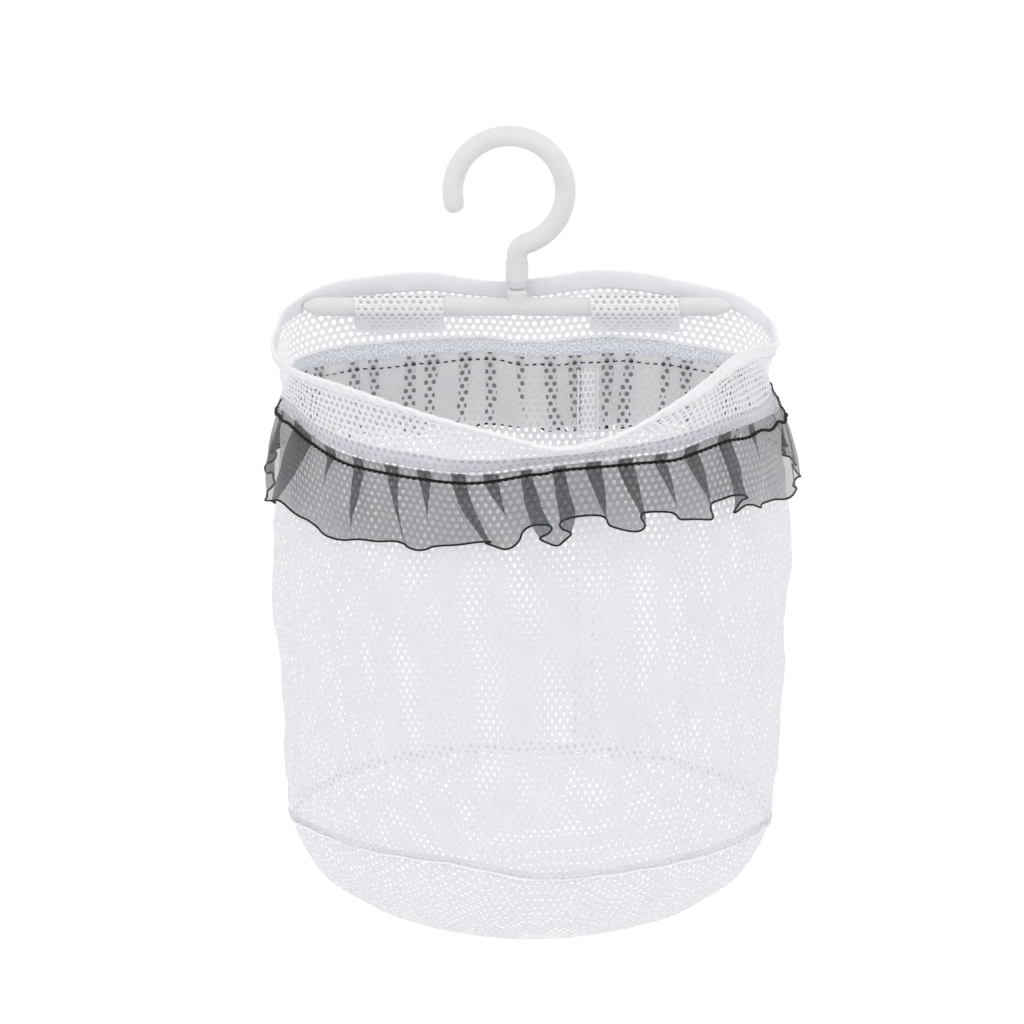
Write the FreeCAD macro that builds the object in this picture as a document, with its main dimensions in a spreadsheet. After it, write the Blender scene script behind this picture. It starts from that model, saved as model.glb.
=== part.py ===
"""Hanging mesh laundry bag: a swivel hook, a hanger bar and a round net bag sewn onto the bar.

Units are millimetres. +Z is up, -Y is the front, +X is to the right. The origin is the hook's
seat, the point at the inside top of its bend where a rail carries the bag.
"""
import FreeCAD, Part
import math
import os
import Sketcher

V = FreeCAD.Vector
DOC = FreeCAD.newDocument("mesh_laundry_bag")

# Driving dimensions, in millimetres and degrees.
SIZES = {
    # hook
    "tube_dia": 11.5,
    "bend_radius": 31.5,
    "s_bend_radius": 7.72,
    "tip_x": -29.2,
    "tip_round": 5.0,
    "hanger_x": 4.4,
    "stem_bottom": -77.0,
    # ferrule on the stem, and the pin that the bar turns on
    "ferrule_dia": 12.7,
    "ferrule_top": -65.9,
    "ferrule_bottom": -80.7,
    "ferrule_taper": 4.4,
    "ferrule_nose_dia": 8.6,
    "pin_dia": 5.0,
    "pin_head_dia": 7.2,
    "pin_head_thickness": 1.6,
    "pin_clearance": 0.05,
    # hanger bar, turned about its own axis
    "bar_z": -92.0,
    "bar_dia": 10.5,
    "bar_length": 239.0,
    "bar_nose": 7.0,
    "bar_nose_dia": 4.0,
    "boss_dia": 11.6,
    "boss_height": 10.2,
    "boss_round": 2.6,
    "counterbore_depth": 3.2,
    # fabric
    "bag_x": 12.0,
    "wall": 1.0,
    "binding_wall": 1.8,
    "binding_share": 0.2,
    "binding_outside_share": 0.25,
    "rim_thread_start_share": 0.2,
    "rim_thread_share": 0.012,
    "base_thread_start_share": 0.985,
    "base_thread_stop_share": 0.99,
    "ruffle_thread_pitch": 1.6,
    "thread": 0.5,
    # rounded D outline at the ruffle seam
    "seam_half_width": 138.0,
    "seam_back": 10.5,
    "seam_corner": 45.0,
    "seam_front_centre": -102.0,
    "seam_z": -126.0,
    "seam_tilt": 1.54,
    # rounded D outline at the rim of the mouth
    "rim_half_width": 139.0,
    "rim_back": 9.7,
    "rim_corner": 20.0,
    "rim_front_centre": -146.0,
    "rim_z": -77.0,
    "rim_tilt": 4.9,
    # fullest outline of the side wall
    "girth_half_width": 141.0,
    "girth_back": 11.0,
    "girth_corner": 90.0,
    "girth_front_centre": -112.0,
    "girth_z": -205.0,
    "girth_tilt": 0.8,
    # outline where the side wall meets the base
    "foot_half_width": 131.5,
    "foot_back": 10.7,
    "foot_corner": 128.5,
    "foot_front_centre": -120.8,
    "foot_z": -353.5,
    "foot_tilt": 0.0,
    # ruffle
    "ruffle_drop": 40.0,
    "ruffle_flare": 8.5,
    "ruffle_depth": 6.0,
    "hem_width": 1.4,
    "tape_height": 11.0,
    # sleeves
    "sleeve_width": 53.0,
    "sleeve_offset": 66.0,
    "sleeve_gap": 0.35,
    "sleeve_wall": 1.2,
    "sleeve_tail": 17.0,
    "sleeve_tail_back": 8.2,
    "tail_stitch_margin": 2.0,
    # back seam
    "back_seam_x": 44.5,
    "back_seam_width": 11.0,
    "back_seam_top": 24.0,
    "back_seam_foot": 4.0,
    "back_seam_lean": 1.9,
    "back_seam_turn_share": 0.6,
    # base
    "base_radius": 130.2,
    "base_flat_radius": 57.0,
    "base_depth": 51.5,
    "base_arc_radius": 108.0,
    "base_binding_height": 6.0,
}


def make_sheet():
    """The spreadsheet that holds every driving dimension, one aliased row each."""
    sheet = DOC.addObject("Spreadsheet::Sheet", "Sizes")
    for row, (alias, value) in enumerate(SIZES.items(), start=1):
        sheet.set(f"A{row}", alias)
        sheet.set(f"B{row}", str(value))
        sheet.setAlias(f"B{row}", alias)
    DOC.recompute()
    return sheet



class Size:
    """A length or angle: its value now, and the spreadsheet expression that it is bound to."""

    def __init__(self, value, text):
        self.value = value
        self.text = text

    def __add__(self, other):
        other = as_size(other)
        return Size(self.value + other.value, f"({self.text} + {other.text})")

    def __sub__(self, other):
        other = as_size(other)
        return Size(self.value - other.value, f"({self.text} - {other.text})")

    def __mul__(self, factor):
        factor = as_size(factor)
        return Size(self.value * factor.value, f"({self.text} * {factor.text})")

    def __neg__(self):
        return self * -1.0


def as_size(number):
    """A plain number as a Size; a Size stays as it is."""
    return number if isinstance(number, Size) else Size(float(number), f"({float(number)})")


def size(alias):
    """One driving dimension."""
    return Size(SIZES[alias], f"Sizes.{alias}")


def bind(item, path, amount):
    """Bind a property or named constraint of a document object to an amount."""
    item.setExpression(path, amount.text)


def make_body(label, x=None, y=None, z=None):
    """An empty body whose placement is bound to the amounts given."""
    body = DOC.addObject("PartDesign::Body", label)
    body.Label = label
    origin = [as_size(0.0) if place is None else place for place in (x, y, z)]
    body.Placement = FreeCAD.Placement(V(*(place.value for place in origin)), FreeCAD.Rotation())
    for axis, place in zip("xyz", (x, y, z)):
        if place is not None:
            bind(body, f".Placement.Base.{axis}", place)
    return body


def add_sketch(body, name, plane, lift=None, tilt=None):
    """A sketch on one of the body's origin planes, lifted along its normal and tilted about its X."""
    sketch = body.newObject("Sketcher::SketchObject", name)
    roles = {item.Role: item for item in body.Origin.OriginFeatures}
    sketch.AttachmentSupport = [(roles[plane], "")]
    sketch.MapMode = "FlatFace"
    if lift is not None:
        angle = as_size(0.0) if tilt is None else tilt
        turn = FreeCAD.Rotation(V(1, 0, 0), angle.value)
        sketch.AttachmentOffset = FreeCAD.Placement(V(0, 0, lift.value), turn)
        bind(sketch, ".AttachmentOffset.Base.z", lift)
        if tilt is not None and tilt.value:
            bind(sketch, ".AttachmentOffset.Rotation.Angle", tilt)
    return sketch


def dimension(sketch, name, kind, *parts):
    """Add a named dimension whose last part is a Size, and bind it."""
    amount = parts[-1]
    index = sketch.addConstraint(Sketcher.Constraint(kind, *parts[:-1], amount.value))
    sketch.renameConstraint(index, name)
    bind(sketch, f"Constraints.{name}", amount)


def circle_sketch(body, name, plane, radius, lift=None, centre=None):
    """A sketch of one circle, at the origin or at a distance of centre along its X."""
    sketch = add_sketch(body, name, plane, lift)
    across = as_size(0.0) if centre is None else centre
    sketch.addGeometry(Part.Circle(V(across.value, 0, 0), V(0, 0, 1), radius.value))
    dimension(sketch, "radius", "Radius", 0, radius)
    if centre is None:
        sketch.addConstraint(Sketcher.Constraint("Coincident", 0, 3, -1, 1))
        return sketch
    dimension(sketch, "centre_x", "DistanceX", -1, 1, 0, 3, across)
    sketch.addConstraint(Sketcher.Constraint("PointOnObject", 0, 3, -1))
    return sketch


def polygon_sketch(body, name, plane, corners):
    """A closed sketch of straight sides, each corner given by two amounts from the origin."""
    sketch = add_sketch(body, name, plane)
    points = [V(across.value, up.value, 0) for across, up in corners]
    last = len(points) - 1
    for here, start in enumerate(points):
        sketch.addGeometry(Part.LineSegment(start, points[(here + 1) % len(points)]))
    for here in range(len(points)):
        following = 0 if here == last else here + 1
        sketch.addConstraint(Sketcher.Constraint("Coincident", here, 2, following, 1))
    for here, (across, up) in enumerate(corners):
        if across.value:
            dimension(sketch, f"across_{here}", "DistanceX", -1, 1, here, 1, across)
        else:
            sketch.addConstraint(Sketcher.Constraint("PointOnObject", here, 1, -2))
        if up.value:
            dimension(sketch, f"up_{here}", "DistanceY", -1, 1, here, 1, up)
        else:
            sketch.addConstraint(Sketcher.Constraint("PointOnObject", here, 1, -1))
    return sketch


def revolve(body, name, sketch, axis):
    """Turn a sketch fully about its own H_Axis or V_Axis."""
    turned = body.newObject("PartDesign::Revolution", name)
    turned.Profile = sketch
    turned.ReferenceAxis = (sketch, [axis])
    turned.Angle = 360.0
    return turned


def pad(body, name, sketch, length, symmetric=False):
    """Extrude a sketch along its normal."""
    raised = body.newObject("PartDesign::Pad", name)
    raised.Profile = sketch
    raised.SideType = "Symmetric" if symmetric else "One side"
    raised.Length = length.value
    bind(raised, "Length", length)
    return raised


# --- Rounded D outlines: the bag's horizontal sections ------------------------------------------

STATION_KEYS = ("half_width", "back", "corner", "front_centre", "z", "tilt")


def station(prefix):
    """The amounts of one of the bag's outlines."""
    return {key: size(f"{prefix}_{key}") for key in STATION_KEYS}


def between(first, second, share):
    """The outline at a share of the way from the first station to the second."""
    share = as_size(share)
    return {key: first[key] + (second[key] - first[key]) * share for key in STATION_KEYS}


def moved(outline, rise):
    """The same outline at another height."""
    return {**outline, "z": outline["z"] + rise}


def outline_sketch(body, name, outline, grow):
    """A rounded D: straight back, two corner arcs, straight sides and a half-round front."""
    sketch = add_sketch(body, name, "XY_Plane", outline["z"], outline["tilt"])
    half_width = outline["half_width"] + grow
    back = outline["back"] + grow
    corner = outline["corner"] + grow
    front = outline["front_centre"]
    width, top, bend, middle = half_width.value, back.value, corner.value, front.value
    flat, turn, up = width - bend, top - bend, V(0, 0, 1)
    left, right = Part.Circle(V(-flat, turn, 0), up, bend), Part.Circle(V(flat, turn, 0), up, bend)
    belly = Part.Circle(V(0, middle, 0), up, width)
    edges = (
        Part.LineSegment(V(flat, top, 0), V(-flat, top, 0)),
        Part.ArcOfCircle(left, math.pi / 2, math.pi),
        Part.LineSegment(V(-width, turn, 0), V(-width, middle, 0)),
        Part.ArcOfCircle(belly, math.pi, 2 * math.pi),
        Part.LineSegment(V(width, middle, 0), V(width, turn, 0)),
        Part.ArcOfCircle(right, 0, math.pi / 2),
    )
    for edge in edges:
        sketch.addGeometry(edge)
    for here in range(len(edges)):
        following = (here + 1) % len(edges)
        sketch.addConstraint(Sketcher.Constraint("Tangent", here, 2, following, 1))
    for kind, edge in (("Horizontal", 0), ("Vertical", 2), ("Vertical", 4)):
        sketch.addConstraint(Sketcher.Constraint(kind, edge))
    sketch.addConstraint(Sketcher.Constraint("PointOnObject", 3, 3, -2))
    dimension(sketch, "half_width", "Radius", 3, half_width)
    dimension(sketch, "left_corner", "Radius", 1, corner)
    dimension(sketch, "right_corner", "Radius", 5, corner)
    dimension(sketch, "back", "DistanceY", -1, 1, 0, 1, back)
    dimension(sketch, "front_centre", "DistanceY", -1, 1, 3, 3, front)
    return sketch


def loft(body, name, kind, outlines):
    """An additive or subtractive ruled loft through (outline, growth) pairs."""
    sketches = [
        outline_sketch(body, f"{name}_{number}", outline, grow)
        for number, (outline, grow) in enumerate(outlines)
    ]
    lofted = body.newObject(f"PartDesign::{kind}", name)
    lofted.Profile = sketches[0]
    lofted.Sections = sketches[1:]
    lofted.Ruled = True
    return lofted


def shell(label, layers):
    """A band of cloth or thread through layers of (outline, outer growth, inner growth)."""
    body = make_body(label, x=size("bag_x"))
    loft(body, f"{label}_outside", "AdditiveLoft", [(o, outer) for o, outer, _ in layers])
    loft(body, f"{label}_inside", "SubtractiveLoft", [(o, inner) for o, _, inner in layers])
    return body


SEAM, RIM, GIRTH, FOOT = (station(name) for name in ("seam", "rim", "girth", "foot"))
NONE = as_size(0.0)
GAP = as_size(0.1)


# --- Hook, ferrule, pin and bar -----------------------------------------------------------------

def make_hook():
    """A round tube: a stem, a short reverse bend and a hook of one radius, closed with a round tip."""
    body = make_body("hook")
    radius, s_radius, tube = size("bend_radius"), size("s_bend_radius"), size("tube_dia") * 0.5
    stem_x, stem_bottom, up = size("hanger_x"), size("stem_bottom"), V(0, 0, 1)
    centre = V(0, tube.value - radius.value, 0)
    reach = radius.value + s_radius.value
    end = math.acos((stem_x.value + s_radius.value) / reach)
    tip = math.acos(-SIZES["tip_x"] / radius.value)
    s_centre = centre + V(reach * math.cos(end), -reach * math.sin(end), 0)
    spine = add_sketch(body, "hook_spine", "XZ_Plane")
    stem_top = V(stem_x.value, s_centre.y, 0)
    spine.addGeometry(Part.LineSegment(V(stem_x.value, stem_bottom.value, 0), stem_top))
    bend = Part.Circle(s_centre, up, s_radius.value)
    spine.addGeometry(Part.ArcOfCircle(bend, math.pi - end, math.pi))
    circle = Part.Circle(centre, up, radius.value)
    spine.addGeometry(Part.ArcOfCircle(circle, -end, math.pi + tip))
    spine.addConstraint(Sketcher.Constraint("Vertical", 0))
    spine.addConstraint(Sketcher.Constraint("Tangent", 0, 2, 1, 2))
    spine.addConstraint(Sketcher.Constraint("Tangent", 1, 1, 2, 1))
    spine.addConstraint(Sketcher.Constraint("PointOnObject", 2, 3, -2))
    dimension(spine, "seat", "DistanceY", -1, 1, 2, 3, tube - radius)
    dimension(spine, "bend", "Radius", 2, radius)
    dimension(spine, "reverse_bend", "Radius", 1, s_radius)
    dimension(spine, "stem_x", "DistanceX", -1, 1, 0, 1, stem_x)
    dimension(spine, "stem_bottom", "DistanceY", -1, 1, 0, 1, stem_bottom)
    dimension(spine, "tip_x", "DistanceX", -1, 1, 2, 2, size("tip_x"))
    profile = circle_sketch(body, "hook_section", "XY_Plane", tube, stem_bottom, stem_x)
    sweep = body.newObject("PartDesign::AdditivePipe", "hook_tube")
    sweep.Profile = profile
    sweep.Spine = (spine, [])
    return body


def round_tip(body):
    """Round the free end of the hook's tube."""
    tube = DOC.getObject("hook_tube")
    tip_x = SIZES["tip_x"]
    rims = [
        f"Edge{number}"
        for number, edge in enumerate(tube.Shape.Edges, start=1)
        if abs(edge.CenterOfMass.x - tip_x) < 1.0 and edge.Length < 4 * SIZES["tube_dia"]
    ]
    rounded = body.newObject("PartDesign::Fillet", "hook_tip")
    rounded.Base = (tube, rims)
    rounded.Radius = SIZES["tip_round"]
    bind(rounded, "Radius", size("tip_round"))
    return rounded


def make_ferrule():
    """The cup that closes the stem's lower end, with a tapered nose and a hole for the pin."""
    body = make_body("hook_ferrule", x=size("hanger_x"))
    outer, nose = size("ferrule_dia") * 0.5, size("ferrule_nose_dia") * 0.5
    bore, pin = size("tube_dia") * 0.5, size("pin_dia") * 0.5
    top, floor, bottom = size("ferrule_top"), size("stem_bottom"), size("ferrule_bottom")
    taper = bottom + size("ferrule_taper")
    corners = (
        (bore, top), (outer, top), (outer, taper), (nose, bottom), (pin, bottom), (pin, floor),
        (bore, floor),
    )
    revolve(body, "ferrule_turned", polygon_sketch(body, "ferrule_section", "XZ_Plane", corners), "V_Axis")
    return body


def make_pin():
    """The headed pin on which the bar turns: fixed in the ferrule, its head under the bar's shoulder."""
    body = make_body("swivel_pin", x=size("hanger_x"))
    shank, head = size("pin_dia") * 0.5, size("pin_head_dia") * 0.5
    shoulder = size("bar_z") - size("bar_dia") * 0.5 + size("counterbore_depth") - GAP
    bottom = shoulder - size("pin_head_thickness")
    corners = (
        (NONE, size("stem_bottom")), (shank, size("stem_bottom")), (shank, shoulder),
        (head, shoulder), (head, bottom), (NONE, bottom),
    )
    revolve(body, "pin_turned", polygon_sketch(body, "pin_section", "XZ_Plane", corners), "V_Axis")
    return body


def make_bar():
    """The hanger bar with tapered ends, and the boss and stepped hole that take the swivel pin."""
    body = make_body("hanger_bar", x=size("hanger_x"), z=size("bar_z"))
    radius, nose = size("bar_dia") * 0.5, size("bar_nose_dia") * 0.5
    end, shoulder = size("bar_length") * 0.5, size("bar_length") * 0.5 - size("bar_nose")
    corners = (
        (-end, NONE), (-end, nose), (-shoulder, radius), (shoulder, radius), (end, nose), (end, NONE),
    )
    revolve(body, "bar_turned", polygon_sketch(body, "bar_section", "XZ_Plane", corners), "H_Axis")
    boss = circle_sketch(body, "boss_section", "XY_Plane", size("boss_dia") * 0.5, NONE)
    raised = pad(body, "bar_boss", boss, size("boss_height"))
    DOC.recompute()
    crown = [
        f"Edge{number}"
        for number, edge in enumerate(raised.Shape.Edges, start=1)
        if abs(edge.BoundBox.ZMin - SIZES["boss_height"]) < 0.01
        and abs(edge.BoundBox.ZMax - SIZES["boss_height"]) < 0.01
    ]
    domed = body.newObject("PartDesign::Fillet", "boss_dome")
    domed.Base = (raised, crown)
    domed.Radius = SIZES["boss_round"]
    bind(domed, "Radius", size("boss_round"))
    bore = size("pin_dia") * 0.5 + size("pin_clearance")
    hole = circle_sketch(body, "pin_hole_section", "XY_Plane", bore, NONE)
    drill(body, "pin_hole", hole, size("boss_height") * 4.0, "Symmetric")
    recess = size("pin_head_dia") * 0.5 + GAP * 3.0
    step = circle_sketch(body, "pin_recess_section", "XY_Plane", recess, -radius)
    drill(body, "pin_recess", step, size("counterbore_depth"), "One side", reverse=True)
    return body


def drill(body, name, sketch, depth, side, reverse=False):
    """Cut a sketch out of the body, and check that it took something away."""
    DOC.recompute()
    before = body.Shape.Volume
    cut = body.newObject("PartDesign::Pocket", name)
    cut.Profile = sketch
    cut.SideType = side
    cut.Reversed = reverse
    cut.Length = depth.value
    bind(cut, "Length", depth)
    DOC.recompute()
    if body.Shape.Volume > before - 1.0:
        raise RuntimeError(f"{name} cuts nothing")
    return cut


# --- Sleeves ------------------------------------------------------------------------------------

def make_sleeve(side, sign):
    """A doubled net loop round the bar whose tail is sewn flat to the bag's back."""
    middle = size("hanger_x") + size("sleeve_offset") * sign
    body = make_body(f"sleeve_{side}", x=middle, z=size("bar_z"))
    inner = size("bar_dia") * 0.5 + size("sleeve_gap")
    outer = inner + size("sleeve_wall")
    loop = circle_sketch(body, f"{body.Label}_loop_section", "YZ_Plane", outer)
    loop.addGeometry(Part.Circle(V(0, 0, 0), V(0, 0, 1), inner.value))
    loop.addConstraint(Sketcher.Constraint("Coincident", 1, 3, -1, 1))
    dimension(loop, "inner_radius", "Radius", 1, inner)
    pad(body, f"{body.Label}_loop", loop, size("sleeve_width"), symmetric=True)
    back, drop = size("sleeve_tail_back"), -size("sleeve_tail")
    corners = ((inner, NONE), (back, NONE), (back, drop), (inner, drop))
    tail = polygon_sketch(body, f"{body.Label}_tail_section", "YZ_Plane", corners)
    pad(body, f"{body.Label}_tail", tail, size("sleeve_width"), symmetric=True)
    return body


def make_sleeve_stitching(side, sign):
    """The row of thread along the bottom of a sleeve's tail."""
    row = DOC.addObject("Part::Box", f"sleeve_stitching_{side}")
    row.Label = row.Name
    margin, thread = size("tail_stitch_margin"), size("thread")
    length = size("sleeve_width") - margin * 2.0
    left = size("hanger_x") + size("sleeve_offset") * sign - length * 0.5
    face = size("bar_dia") * 0.5 + size("sleeve_gap") - thread
    low = size("bar_z") - size("sleeve_tail") + margin
    sides = (("Length", length), ("Width", thread), ("Height", thread))
    row.Placement = FreeCAD.Placement(V(left.value, face.value, low.value), FreeCAD.Rotation())
    corner = ((".Placement.Base.x", left), (".Placement.Base.y", face), (".Placement.Base.z", low))
    for path, amount in sides + corner:
        bind(row, path, amount)
    return row


# --- Net panels, tapes, ruffle and threads -------------------------------------------------------

def band(label, first, second, start, stop, outer, inner):
    """A band that follows the surface between two stations, from one share of the way to another."""
    layers = [(between(first, second, share), outer, inner) for share in (start, stop)]
    return shell(label, layers)


def make_mouth():
    """The net collar above the ruffle, the binding round its rim and that binding's stitching."""
    wall, thread = -size("wall"), size("thread")
    binding = size("binding_wall") * SIZES["binding_outside_share"]
    edge = 1.0 - SIZES["binding_share"]
    row = edge + SIZES["binding_share"] * SIZES["rim_thread_start_share"]
    row_end = row + SIZES["rim_thread_share"]
    return [
        band("collar_mesh", SEAM, RIM, 0.0, edge, NONE, wall),
        band("rim_binding", SEAM, RIM, edge, 1.0, binding, wall - binding),
        band("rim_stitching", SEAM, RIM, row, row_end, binding + GAP + thread, binding + GAP),
    ]


def make_wall():
    """The net side wall, the seam down its back and the stitching round its foot."""
    wall, thread = -size("wall"), size("thread")
    body = shell("body_mesh", [(outline, NONE, wall) for outline in (SEAM, GIRTH, FOOT)])
    start, stop = SIZES["base_thread_start_share"], SIZES["base_thread_stop_share"]
    stitching = band("base_stitching", GIRTH, FOOT, start, stop, GAP + thread, GAP)
    return [body, stitching]


def make_tape():
    """The tape that covers the ruffle's seam on the inside."""
    half = SIZES["tape_height"] / 2
    below = between(SEAM, GIRTH, half / (SIZES["seam_z"] - SIZES["girth_z"]))
    above = between(SEAM, RIM, half / (SIZES["rim_z"] - SIZES["seam_z"]))
    outer = -size("wall") - GAP
    inner = outer - size("wall") * 0.8
    return shell("seam_tape", [(outline, outer, inner) for outline in (below, SEAM, above)])


def make_ruffle():
    """The sheer ruffle as one flared skirt, the row of thread that holds it and its rolled hem."""
    top, flare, depth = GAP + size("wall"), size("ruffle_flare"), size("ruffle_depth")
    thread, hem = size("thread"), size("hem_width")
    bottom = between(SEAM, GIRTH, SIZES["ruffle_drop"] / (SIZES["seam_z"] - SIZES["girth_z"]))
    lip = moved(bottom, -hem)
    rows = [moved(SEAM, drop) for drop in (-thread, -thread * (1.0 + SIZES["ruffle_thread_pitch"]))]
    row_out = top + thread * 2.0
    edge = flare - depth * 0.5
    return [
        shell("ruffle", [(SEAM, top, GAP), (bottom, flare, flare - depth)]),
        shell("ruffle_stitching", [(row, row_out, row_out - thread) for row in rows]),
        shell("ruffle_hem", [(level, edge + hem * 0.5, edge - hem * 0.5) for level in (bottom, lip)]),
    ]


def make_back_seam():
    """The doubled strip where the side wall's net is joined, flat against the outside of the back."""
    body = make_body("back_seam", x=size("back_seam_x"))
    half = size("back_seam_width") * 0.5
    fall = size("girth_z") - size("foot_z")
    levels = (
        (size("seam_z") - size("back_seam_top"), size("girth_back")),
        (size("girth_z"), size("girth_back")),
        (size("girth_z") - fall * SIZES["back_seam_turn_share"], size("girth_back")),
        (size("foot_z") + size("back_seam_foot"), size("foot_back") - size("back_seam_lean")),
    )
    sketches = []
    for number, (height, back) in enumerate(levels):
        near, far = back + GAP, back + GAP + size("wall") * 0.8
        corners = ((-half, near), (half, near), (half, far), (-half, far))
        sketch = polygon_sketch(body, f"back_seam_{number}", "XY_Plane", corners)
        sketch.AttachmentOffset = FreeCAD.Placement(V(0, 0, height.value), FreeCAD.Rotation())
        bind(sketch, ".AttachmentOffset.Base.z", height)
        sketches.append(sketch)
    strip = body.newObject("PartDesign::AdditiveLoft", "back_seam_strip")
    strip.Profile = sketches[0]
    strip.Sections = sketches[1:]
    strip.Ruled = True
    return body


def make_base():
    """The base: a net bowl that sags to a flat middle, turned about the bag's upright axis."""
    body = make_body("base_panel", x=size("bag_x"), y=size("foot_front_centre"), z=size("foot_z"))
    rim, flat, deep = size("base_radius"), size("base_flat_radius"), -size("base_depth")
    arc, inner_arc = size("base_arc_radius"), size("base_arc_radius") - size("wall")
    floor = deep + size("wall")
    start, stop = V(flat.value, deep.value, 0), V(rim.value, 0, 0)
    chord = stop - start
    rise = math.sqrt(arc.value**2 - chord.Length**2 / 4)
    centre = (start + stop) * 0.5 + V(-chord.y, chord.x, 0).normalize() * rise
    reach_low = math.sqrt(inner_arc.value**2 - (centre.y - floor.value) ** 2)
    reach_high = math.sqrt(inner_arc.value**2 - centre.y**2)
    inner_start = V(centre.x + reach_low, floor.value, 0)
    inner_stop = V(centre.x + reach_high, 0, 0)
    sketch = add_sketch(body, "base_section", "XZ_Plane")
    sketch.addGeometry(Part.LineSegment(V(0, deep.value, 0), start))
    sketch.addGeometry(bowl_arc(centre, arc.value, start, stop))
    sketch.addGeometry(Part.LineSegment(stop, inner_stop))
    sketch.addGeometry(bowl_arc(centre, inner_arc.value, inner_start, inner_stop))
    sketch.addGeometry(Part.LineSegment(inner_start, V(0, floor.value, 0)))
    sketch.addGeometry(Part.LineSegment(V(0, floor.value, 0), V(0, deep.value, 0)))
    around = ((0, 2, 1, 1), (1, 2, 2, 1), (2, 2, 3, 2), (3, 1, 4, 1), (4, 2, 5, 1), (5, 2, 0, 1))
    for ends in around + ((1, 3, 3, 3),):
        sketch.addConstraint(Sketcher.Constraint("Coincident", *ends))
    for kind, edge in (("Horizontal", 0), ("Horizontal", 4)):
        sketch.addConstraint(Sketcher.Constraint(kind, edge))
    for point in ((0, 1, -2), (4, 2, -2), (1, 2, -1), (3, 2, -1)):
        sketch.addConstraint(Sketcher.Constraint("PointOnObject", *point))
    dimension(sketch, "flat_radius", "DistanceX", -1, 1, 0, 2, flat)
    dimension(sketch, "depth", "DistanceY", -1, 1, 0, 1, deep)
    dimension(sketch, "floor", "DistanceY", -1, 1, 4, 2, floor)
    dimension(sketch, "rim_radius", "DistanceX", -1, 1, 1, 2, rim)
    dimension(sketch, "bowl_arc", "Radius", 1, arc)
    dimension(sketch, "inner_bowl_arc", "Radius", 3, inner_arc)
    revolve(body, "base_turned", sketch, "V_Axis")
    return [body, make_base_binding()]


def bowl_arc(centre, radius, start, stop):
    """The arc about a centre from one point to another, counter-clockwise."""
    angles = [math.atan2(point.y - centre.y, point.x - centre.x) for point in (start, stop)]
    return Part.ArcOfCircle(Part.Circle(centre, V(0, 0, 1), radius), *angles)


def make_base_binding():
    """The bound seam allowance that stands up inside the foot of the bag."""
    body = make_body("base_binding", x=size("bag_x"), y=size("foot_front_centre"), z=size("foot_z"))
    outer, inner = size("base_radius"), size("base_radius") - size("binding_wall")
    height = size("base_binding_height")
    corners = ((inner, NONE), (outer, NONE), (outer, height), (inner, height))
    sketch = polygon_sketch(body, "base_binding_section", "XZ_Plane", corners)
    revolve(body, "base_binding_turned", sketch, "V_Axis")
    return body


# --- Build, check and write ----------------------------------------------------------------------

def build():
    """Every sub-part of the bag, in the order from the hook down."""
    hook = make_hook()
    DOC.recompute()
    round_tip(hook)
    parts = [hook, make_ferrule(), make_pin(), make_bar()]
    for side, sign in (("left", -1.0), ("right", 1.0)):
        parts += [make_sleeve(side, sign), make_sleeve_stitching(side, sign)]
    parts += make_mouth() + [make_tape()] + make_ruffle() + make_wall() + [make_back_seam()]
    return parts + make_base()


def check(parts):
    """Stop if any object failed, or a sub-part isn't one valid solid."""
    DOC.recompute()
    for item in DOC.Objects:
        if "Invalid" in item.State or "Error" in item.State:
            raise RuntimeError(f"{item.Label} failed: {item.State}")
    for part in parts:
        shape = part.Shape
        if shape.isNull() or not shape.isValid() or len(shape.Solids) != 1:
            raise RuntimeError(f"{part.Label} is not one valid solid")


def write(parts):
    """One STEP file for each sub-part, named by its label."""
    os.makedirs("parts", exist_ok=True)
    for part in parts:
        part.Shape.exportStep(f"parts/{part.Label}.step")
        print(f"{part.Label}: {part.Shape.Volume:.1f} mm3, {part.Shape.BoundBox}")


SHEET = make_sheet()
PARTS = build()
check(PARTS)
write(PARTS)
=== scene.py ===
"""Looks for the hanging net laundry bag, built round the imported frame.

Everything is in metres, +Z up and -Y to the front. The bag is one cloth surface, bag(around, height):
around runs once round the bag from the middle of the front towards +X, and height is measured up the
cloth from the ruffle's seam, so the collar has positive heights and the side wall negative ones.
"""
import math

import bpy
import numpy as np
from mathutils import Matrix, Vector


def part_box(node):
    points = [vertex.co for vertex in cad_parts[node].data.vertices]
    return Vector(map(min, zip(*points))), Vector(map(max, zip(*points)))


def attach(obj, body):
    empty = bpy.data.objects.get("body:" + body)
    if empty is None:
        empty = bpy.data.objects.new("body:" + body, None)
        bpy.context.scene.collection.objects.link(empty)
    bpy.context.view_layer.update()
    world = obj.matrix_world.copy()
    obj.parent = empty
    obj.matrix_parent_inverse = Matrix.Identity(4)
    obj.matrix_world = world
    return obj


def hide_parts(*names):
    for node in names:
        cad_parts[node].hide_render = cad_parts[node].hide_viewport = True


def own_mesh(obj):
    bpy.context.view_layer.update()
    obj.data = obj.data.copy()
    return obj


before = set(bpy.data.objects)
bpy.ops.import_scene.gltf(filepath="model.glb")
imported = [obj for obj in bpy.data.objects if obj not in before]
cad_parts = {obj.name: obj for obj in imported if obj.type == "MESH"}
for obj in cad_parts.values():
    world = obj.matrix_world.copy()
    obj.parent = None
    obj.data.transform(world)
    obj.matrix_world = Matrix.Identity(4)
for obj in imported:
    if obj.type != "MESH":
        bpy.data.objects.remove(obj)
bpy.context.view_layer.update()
MM = 0.001

# --- Places read from the frame -----------------------------------------------------------------

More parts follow.
